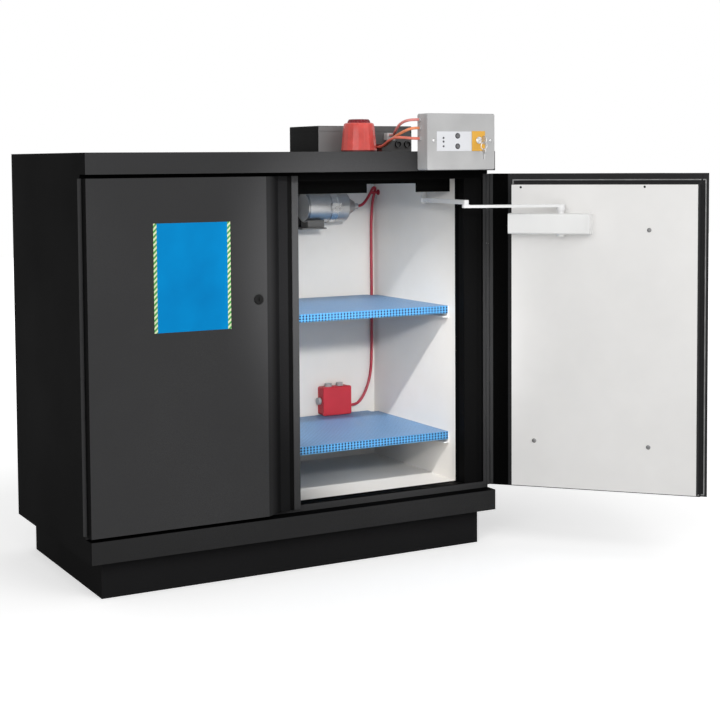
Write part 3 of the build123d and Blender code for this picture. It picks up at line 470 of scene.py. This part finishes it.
# nodes whose finish isn't the one of their slot
COATS = {
    "door_left": "door_left", "door_right": "door_right", "astragal": "strip_grey",
    "band_top": "body", "band_bottom": "band_low", "wall_top": "body", "wall_back": "body",
    "liner_ceiling": "board_edged", "liner_left": "liner_white", "liner_right": "liner_white",
    "liner_back": "liner_white", "liner_floor": "liner_white", "generator_bracket": "bracket_grey",
    "cable_hook": "hook_red", "wall_left": "frame_side", "wall_right": "frame_side",
    "wall_bottom": "frame_low",
}


def dress_nodes():
    """Every CAD node gets its own finish or its slot's."""
    slots = {p["node"]: p["material_slot"] for p in frame["record"]["subparts"]}
    for name, obj in frame["nodes"].items():
        material = MATERIALS[COATS.get(name, slots[name])]
        if not obj.material_slots:
            obj.data.materials.append(material)
        for place in obj.material_slots:
            place.material = material


# ---------------------------------------------------------------- mesh helpers
def add_piece(name, mesh, body, material, smooth_angle=None):
    """Link a mesh as a piece that rides on a body."""
    obj = bpy.data.objects.new(name, mesh)
    bpy.context.collection.objects.link(obj)
    mesh.materials.append(material)
    if smooth_angle:
        for face in mesh.polygons:
            face.use_smooth = True
        mesh.set_sharp_from_angle(angle=math.radians(smooth_angle))
    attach(obj, body)
    return obj


def mesh_from(bm, name):
    """A finished mesh from a bmesh."""
    mesh = bpy.data.meshes.new(name)
    bm.to_mesh(mesh)
    bm.free()
    return mesh


def bevelled_box(low, high, radius, segments=3):
    """A box mesh between two corners with rounded edges."""
    bm = bmesh.new()
    bmesh.ops.create_cube(bm, size=1.0)
    for v in bm.verts:
        v.co = Vector([(l + h) / 2 + c * (h - l) for c, l, h in zip(v.co, low, high)])
    bmesh.ops.bevel(
        bm, geom=bm.edges[:], offset=radius, segments=segments, profile=0.5, affect="EDGES"
    )
    return mesh_from(bm, "box")


def turned(profile, matrix, count=48, wave=None):
    """A surface turned about local Z from (radius, height) pairs, placed by a matrix."""
    bm = bmesh.new()
    rings = []
    for radius, height in profile:
        ring = []
        for i in range(count):
            angle = 2 * math.pi * i / count
            r = radius * (1 + wave(angle, height)) if wave else radius
            point = Vector((r * math.cos(angle), r * math.sin(angle), height))
            ring.append(bm.verts.new(matrix @ point))
        rings.append(ring)
    for lower, upper in zip(rings, rings[1:]):
        for i in range(count):
            j = (i + 1) % count
            bm.faces.new((lower[i], lower[j], upper[j], upper[i]))
    bm.faces.new(list(reversed(rings[0])))
    bm.faces.new(rings[-1])
    bmesh.ops.recalc_face_normals(bm, faces=bm.faces[:])
    return mesh_from(bm, "turned")


def facing(point, normal):
    """A matrix at a point whose local Z looks along a normal."""
    turn = Vector(normal).to_track_quat("Z", "Y").to_matrix().to_4x4()
    return Matrix.Translation(point) @ turn


def joined(meshes):
    """One mesh from several."""
    bm = bmesh.new()
    for mesh in meshes:
        bm.from_mesh(mesh)
    return mesh_from(bm, "joined")


def screw_head(point, normal, radius):
    """A low domed screw head with a recess."""
    profile = [
        (radius, 0.0), (radius, radius * 0.15), (radius * 0.8, radius * 0.38),
        (radius * 0.45, radius * 0.48), (radius * 0.32, radius * 0.48),
        (radius * 0.26, radius * 0.15),
    ]
    return turned(profile, facing(point, normal), 24)


# ---------------------------------------------------------------- cables
def make_cord(node, slot, radius, lay, points):
    """A cable on one smooth NURBS line along its route; it stands for its CAD tube."""
    name = node + "_line"
    curve = bpy.data.curves.new(name, "CURVE")
    curve.dimensions = "3D"
    curve.bevel_depth = radius
    curve.bevel_resolution = 6
    curve.use_fill_caps = True
    spline = curve.splines.new("NURBS")
    spline.points.add(len(points) - 1)
    for target, point in zip(spline.points, points):
        target.co = (*point, 1.0)
    spline.order_u = 3
    spline.use_endpoint_u = True
    spline.resolution_u = 12
    obj = bpy.data.objects.new(name, curve)
    bpy.context.collection.objects.link(obj)
    curve.materials.append(MATERIALS[slot])
    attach(obj, "cabinet")
    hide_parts(node)


# each cord's finish, radius, lay and route
CORDS = {
    "fire_cable": ("fire_cable_red", 0.004, "taut", [
        (0.3970, 0.1735, 0.8760),
        (0.4110, 0.1735, 0.8760),
        (0.4340, 0.1815, 0.8950),
        (0.4500, 0.1890, 0.9140),
        (0.4595, 0.1935, 0.9270),
        (0.4690, 0.1970, 0.9265),
        (0.4725, 0.2045, 0.9185),
        (0.4705, 0.2130, 0.8970),
        (0.4680, 0.2175, 0.8600),
        (0.4670, 0.2185, 0.8000),
        (0.4665, 0.2175, 0.7000),
        (0.4670, 0.2185, 0.6000),
        (0.4660, 0.2175, 0.5200),
        (0.4655, 0.2170, 0.4500),
        (0.4620, 0.2160, 0.4020),
        (0.4530, 0.2150, 0.3660),
        (0.4400, 0.2140, 0.3380),
        (0.4220, 0.2130, 0.3140),
        (0.4020, 0.2125, 0.3070),
        (0.3840, 0.2125, 0.3070),
    ]),
    "signal_cable_1": ("signal_cable_pink", 0.0035, "loose", [
        (0.3120, -0.3045, 1.1050),
        (0.2920, -0.3045, 1.1050),
        (0.2790, -0.2905, 1.1010),
        (0.2770, -0.2685, 1.0930),
        (0.2810, -0.2465, 1.0810),
        (0.2920, -0.2205, 1.0740),
        (0.3080, -0.1885, 1.0700),
        (0.3260, -0.1585, 1.0685),
        (0.3420, -0.1325, 1.0690),
        (0.3420, -0.1105, 1.0690),
    ]),
    "signal_cable_2": ("signal_cable_orange", 0.0035, "loose", [
        (0.3120, -0.3065, 1.0840),
        (0.2920, -0.3065, 1.0840),
        (0.2790, -0.2925, 1.0770),
        (0.2745, -0.2685, 1.0680),
        (0.2750, -0.2405, 1.0600),
        (0.2770, -0.2145, 1.0500),
        (0.2780, -0.1895, 1.0390),
        (0.2780, -0.1685, 1.0390),
    ]),
    "signal_cable_3": ("signal_cable_red", 0.0035, "loose", [
        (0.3120, -0.3065, 1.0580),
        (0.2920, -0.3065, 1.0580),
        (0.2780, -0.2935, 1.0605),
        (0.2665, -0.2685, 1.0610),
        (0.2660, -0.2405, 1.0555),
        (0.2685, -0.2145, 1.0465),
        (0.2700, -0.1895, 1.0375),
        (0.2700, -0.1685, 1.0375),
    ]),
}


# ---------------------------------------------------------------- stage
WORLD_LIGHT = 0.5           # what the surroundings give as a light; they are seen at 1
FLOOR_SIZE = 12.0           # middle of the floor to its edge
FLOOR_LIFT = 0.45           # the floor's own glow near the object, which keeps the shadow
LIFT_START = 1.0            # from here outward the glow rises ...
LIFT_END = 3.0              # ... to 1, so that the floor meets the background in white
SPOT_ANGLE = math.radians(19.0)
ROOM_AIM = (0.1, 0.0, 0.6)

# name, kind, place, size or radius, watts, aim
LIGHTS = (
    ("key", "AREA", (1.0, -3.6, 2.4), 2.4, 43.0, ROOM_AIM),
    ("fill", "AREA", (-2.6, -2.9, 1.8), 1.8, 42.0, ROOM_AIM),
    ("inside_low", "SPOT", (-0.57, -2.50, 1.35), 0.10, 165.0, (0.30, -0.05, 0.55)),
    ("inside_high", "SPOT", (-0.66, -1.72, 2.11), 0.05, 235.0, (0.28, -0.05, 0.43)),
)


def seen_rays(tree):
    """1 on rays from the camera, on reflections and through glass; 0 on light's own rays."""
    rays = tree.nodes.new("ShaderNodeLightPath")
    seen = rays.outputs["Is Camera Ray"]
    for kind in ("Is Glossy Ray", "Is Transmission Ray"):
        either = tree.nodes.new("ShaderNodeMath")
        either.operation = "MAXIMUM"
        tree.links.new(seen, either.inputs[0])
        tree.links.new(rays.outputs[kind], either.inputs[1])
        seen = either.outputs[0]
    return seen


def make_floor():
    """Pale floor that keeps the object's shadow and fades into the background."""
    mesh = bpy.data.meshes.new("floor")
    corners = [(-1, -1, 0), (1, -1, 0), (1, 1, 0), (-1, 1, 0)]
    mesh.from_pydata([Vector(c) * FLOOR_SIZE for c in corners], [], [(0, 1, 2, 3)])
    floor = bpy.data.objects.new("floor", mesh)
    bpy.context.collection.objects.link(floor)
    s = Shade("floor_pale", (0.86, 0.86, 0.86), 0.7, gloss=0.0)
    s.paint(s.mix(s.noise(0.8, 2.0), (0.85, 0.85, 0.85), (0.88, 0.88, 0.88)))
    x, y, _ = s.split()
    away = s.node("ShaderNodeMapRange")
    away.inputs["From Min"].default_value = LIFT_START
    away.inputs["From Max"].default_value = LIFT_END
    away.inputs["To Min"].default_value = FLOOR_LIFT
    s.link(s.length(x, y), away.inputs["Value"])
    glow = s.math("MULTIPLY", seen_rays(s.tree), away.outputs["Result"])
    s.bsdf.inputs["Emission Color"].default_value = (1.0, 1.0, 1.0, 1.0)
    s.link(glow, s.bsdf.inputs["Emission Strength"])
    mesh.materials.append(s.mat)


def make_world():
    """White surroundings, dimmer as a light than as a background."""
    world = bpy.data.worlds.new("studio")
    bpy.context.scene.world = world
    world.use_nodes = True
    tree = world.node_tree
    background = tree.nodes["Background"]
    background.inputs["Color"].default_value = (1.0, 1.0, 1.0, 1.0)
    strength = tree.nodes.new("ShaderNodeMapRange")
    strength.inputs["To Min"].default_value = WORLD_LIGHT
    tree.links.new(seen_rays(tree), strength.inputs["Value"])
    tree.links.new(strength.outputs["Result"], background.inputs["Strength"])


def make_lights():
    """Two soft lamps on the cabinet and two narrow ones into its open half."""
    for name, kind, place, size, power, target in LIGHTS:
        data = bpy.data.lights.new(name, kind)
        data.energy = power
        if kind == "SPOT":
            data.shadow_soft_size = size
            data.spot_size = SPOT_ANGLE
            data.spot_blend = 0.8
        else:
            data.size = size
        light = bpy.data.objects.new(name, data)
        light.location = place
        aim = Vector(target) - Vector(place)
        light.rotation_euler = aim.to_track_quat("-Z", "Y").to_euler()
        bpy.context.collection.objects.link(light)


# ---------------------------------------------------------------- alarm unit
CONTROL_LIP = 0.004         # the cable entries stand out this far at the box's left side
# along and up from the box's lower left corner
LABEL_FIELD = ((0.027, 0.047), (0.129, 0.096))
KEY_PLATE = ((0.131, 0.047), (0.170, 0.097))
LAMPS = ((0.0463, 0.059), (0.0463, 0.0706), (0.0463, 0.0797))
BUTTONS = ((0.088, 0.059), (0.088, 0.085))
COVER_SCREWS = ((0.0184, 0.0733), (0.1869, 0.0733))
LAMP_PROFILE = [(0.0026, 0.0), (0.0026, 0.0006), (0.0020, 0.0014), (0.0008, 0.0018)]
RIM_PROFILE = [(0.0072, 0.0), (0.0072, 0.0010), (0.0064, 0.0014), (0.0060, 0.0009)]
FIELD_PROUD = 0.0008
KEY_PLATE_PROUD = 0.0012
SUNK = 0.0004               # how deep a plate reaches into what carries it


def make_control_face():
    """White label field, lamps, yellow key plate and screws on the control box."""
    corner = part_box("control_box")[0]
    left, face, bottom = corner[0] + CONTROL_LIP, corner[1], corner[2]

    def plate(corners, proud, radius):
        (x0, z0), (x1, z1) = corners
        low = (left + x0, face - proud, bottom + z0)
        return bevelled_box(low, (left + x1, face + SUNK, bottom + z1), radius, 2)

    def rounds(places, profile, proud, count):
        return joined([
            turned(profile, facing((left + x, face - proud, bottom + z), (0, -1, 0)), count)
            for x, z in places
        ])

    heads = joined([
        screw_head((left + x, face, bottom + z), (0, -1, 0), 0.0042) for x, z in COVER_SCREWS
    ])
    white = smooth_paint("label_white", (0.76, 0.77, 0.80), 0.35)
    yellow = smooth_paint("plate_yellow", (0.80, 0.42, 0.045), 0.38)
    dark = moulded("lamp_dark", (0.09, 0.09, 0.10), 0.25)
    steel = brushed("screw_steel", (0.55, 0.55, 0.55), 0.3, (10.0, 1.0, 1.0), 0.1)
    pieces = (
        ("label_field", plate(LABEL_FIELD, FIELD_PROUD, 0.0003), white, None),
        ("key_plate", plate(KEY_PLATE, KEY_PLATE_PROUD, 0.0005), yellow, None),
        ("lamps", rounds(LAMPS, LAMP_PROFILE, FIELD_PROUD, 20), dark, 40),
        ("button_rims", rounds(BUTTONS, RIM_PROFILE, 0.0, 32), dark, 40),
        ("control_screws", heads, steel, 40),
    )
    for name, mesh, material, smooth_angle in pieces:
        add_piece(name, mesh, "cabinet", material, smooth_angle)


# share of the lens's radius, share of its height, from the bottom up
LENS_PROFILE = (
    (1.0, 0.0), (1.0, 0.03), (0.985, 0.08), (0.95, 0.30), (0.905, 0.55), (0.86, 0.80),
    (0.82, 0.86), (0.74, 0.885), (0.66, 0.885),
)
CAP_PROFILE = ((0.655, 0.87), (0.64, 0.90), (0.61, 0.95), (0.57, 0.985), (0.53, 1.0))
FLUTES = 9                  # in half a turn
FLUTE_DEPTH = 0.018         # share of the radius
RIBS = 18
RIB_DEPTH = 0.07


def make_beacon():
    """Fluted beacon lens with a ribbed darker cap, standing on the CAD foot."""
    low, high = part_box("beacon_lens")
    reach = (high[1] - low[1]) / 2
    tall = high[2] - low[2]
    place = Matrix.Translation((low[0] + reach, (low[1] + high[1]) / 2, low[2]))

    def flute(angle, _):
        return -FLUTE_DEPTH * abs(math.sin(FLUTES * angle))

    def rib(angle, _):
        return -RIB_DEPTH * (0.5 + 0.5 * math.cos(RIBS * angle))

    def scaled(profile):
        return [(reach * across, tall * up) for across, up in profile]

    lens = turned(scaled(LENS_PROFILE), place, 180, flute)
    shell = add_piece("beacon_shell", lens, "cabinet", MATERIALS["beacon_red"], 35)
    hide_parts("beacon_lens")
    cap = turned(scaled(CAP_PROFILE), place, 144, rib)
    dark = lens_plastic("beacon_cap_red", (0.215, 0.013, 0.022))
    add_piece("beacon_top", cap, "cabinet", dark, 35)


# ---------------------------------------------------------------- left door
PLATE_WIDTH = 0.192
PLATE_REACH = 0.160         # left side of the cabinet to the plate
PLATE_BOTTOM = 0.610
PLATE_TOP = 0.863
PLATE_PROUD = 0.0008
STRIPED_WIDTH = 0.008
STRIPE_PITCH = 0.012


def make_door_plate():
    """Generic blue plate with striped edges on the left door; it carries no signs."""
    x0 = LEFT_X + PLATE_REACH
    x1 = x0 + PLATE_WIDTH
    s = Shade("plate_fields", (0.0, 0.24, 0.58), 0.45, gloss=0.05)
    x, _, z = s.split()
    off = s.math("ABSOLUTE", s.math("SUBTRACT", x, (x0 + x1) / 2))
    edge = s.math("GREATER_THAN", off, PLATE_WIDTH / 2 - STRIPED_WIDTH)
    slant = s.math("DIVIDE", s.math("SUBTRACT", z, x), STRIPE_PITCH)
    stripe = s.math("GREATER_THAN", s.math("FRACT", slant), 0.5)
    striped = s.mix(stripe, (0.72, 0.80, 0.50), (0.10, 0.36, 0.10))
    cloud = s.noise(12.0, 2.0)
    blue = s.mix(s.ramp(cloud, *CLOUD), (0.0, 0.21, 0.53), (0.0, 0.25, 0.60))
    s.paint(s.mix(edge, blue, striped))
    s.roughness(cloud, 0.42, 0.52)
    s.bump(s.noise(500.0, 2.0), 0.00003, 0.3)
    low = (x0, FRONT_Y - PLATE_PROUD, PLATE_BOTTOM)
    plate = bevelled_box(low, (x1, FRONT_Y + SUNK, PLATE_TOP), 0.0003, 2)
    add_piece("door_plate", plate, "door_left", s.mat)


SEAL_WIDTH = 0.016
SEAL_SET_BACK = 0.001


def make_left_seal():
    """Black seal strip between the left door's return and its astragal."""
    low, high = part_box("astragal")
    corner = (low[0] - SEAL_WIDTH, low[1] + SEAL_SET_BACK, low[2])
    strip = bevelled_box(corner, (low[0], high[1], high[2]), 0.0012)
    add_piece("meeting_seal", strip, "door_left", MATERIALS["seal_black"])


# ---------------------------------------------------------------- insides of the doors
# distances out of a door's inner face, from its hinge axis
BOARD_AWAY = 0.0465
SHELL_AWAY = -0.0015
LAP_AWAY = -0.008
# along a door from its hinge, and height
PLUG_PLACES = ((0.098, 0.933), (0.412, 0.934))
SCREW_PLACES = ((0.424, 0.826), (0.133, 0.281), (0.424, 0.279))
PLUG_PROFILE = [(0.0028, -0.0003), (0.0028, 0.0003), (0.0022, 0.0006), (0.0010, 0.0004)]
# the bead is a light grey strip that stands for a painted highlight on the edge of the door's
# inner box
BEAD_WIDTH = 0.003
BEAD_PROUD = 0.0023
BEAD_SUNK = 0.0003
BEAD_START = 0.066
BEAD_END = {"left": 0.511, "right": 0.546}
BEAD_LOW = 0.1535
BEAD_HIGH = 0.9525
LAP_START = 0.549
LAP_END = 0.558


def door_frame(side):
    """A door's own frame: X along it from its hinge, Y out of its inner face, Z up."""
    if side == "left":
        return Matrix.Translation((LEFT_X, HINGE_Y, 0.0))
    return Matrix((
        (-math.cos(DOOR_TURN), -math.sin(DOOR_TURN), 0.0, RIGHT_X),
        (-math.sin(DOOR_TURN), math.cos(DOOR_TURN), 0.0, HINGE_Y),
        (0.0, 0.0, 1.0, 0.0),
        (0.0, 0.0, 0.0, 1.0),
    ))


def placed(mesh, matrix):
    """The mesh moved by a matrix, its faces kept outward."""
    mesh.transform(matrix)
    if matrix.determinant() < 0:
        mesh.flip_normals()
    return mesh


def highlight_bead_bars(start, end, away):
    """The bars of the highlight bead along the top and bottom of a stretch of a door, in its
    frame.
    """
    return [
        ((start, BEAD_HIGH - BEAD_WIDTH), (end, BEAD_HIGH), away),
        ((start, BEAD_LOW), (end, BEAD_LOW + BEAD_WIDTH), away),
    ]


def make_door_insides(side):
    """Screws, plugged holes and the light grey bead that runs round a door's inner box; the bead
    stands for a painted highlight on the box's edge.
    """
    bars = highlight_bead_bars(BEAD_START, BEAD_END[side], SHELL_AWAY)
    bars.append(((BEAD_START, BEAD_LOW), (BEAD_START + BEAD_WIDTH, BEAD_HIGH), SHELL_AWAY))
    if side == "right":
        bars += highlight_bead_bars(LAP_START, LAP_END, LAP_AWAY)
        bars.append(((LAP_END - BEAD_WIDTH, BEAD_LOW), (LAP_END, BEAD_HIGH), LAP_AWAY))
    bead = [
        bevelled_box((x0, away - BEAD_SUNK, z0), (x1, away + BEAD_PROUD, z1), 0.0009)
        for (x0, z0), (x1, z1), away in bars
    ]
    screws = [screw_head((x, BOARD_AWAY, z), (0, 1, 0), 0.0055) for x, z in SCREW_PLACES]
    plugs = [
        turned(PLUG_PROFILE, facing((x, BOARD_AWAY, z), (0, 1, 0)), 20) for x, z in PLUG_PLACES
    ]
    pieces = (
        ("board_screws_", screws, "board_white", "fixing_grey", 40),
        ("board_holes_", plugs, "board_white", "seal_black", 40),
        ("door_highlight_bead_", bead, "seal_black", "bead_grey", None),
    )
    for name, meshes, slot, finish, smooth_angle in pieces:
        mesh = placed(joined(meshes), door_frame(side))
        add_piece(name + side, mesh, "door_" + side, MATERIALS[finish], smooth_angle)


# ---------------------------------------------------------------- ceiling
TRIM_THICK = 0.003
TRIM_LAP = 0.0005           # how far the trim reaches into the plate


def make_plate_trim():
    """Thin black trim that closes the joint between the drop plate and the ceiling."""
    low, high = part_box("drop_plate")
    corner = (low[0], low[1], high[2] - TRIM_LAP)
    trim = bevelled_box(corner, (high[0], low[1] + TRIM_THICK, CEILING_Z), 0.0004, 2)
    add_piece("plate_trim", trim, "cabinet", MATERIALS["seal_black"])


# ---------------------------------------------------------------- the scene
make_camera()
make_floor()
make_world()
make_lights()
bpy.context.scene.view_settings.view_transform = "Standard"
dress_nodes()
for node, details in CORDS.items():
    make_cord(node, *details)
make_control_face()
make_beacon()
make_door_plate()
make_left_seal()
make_plate_trim()
make_door_insides("left")
make_door_insides("right")
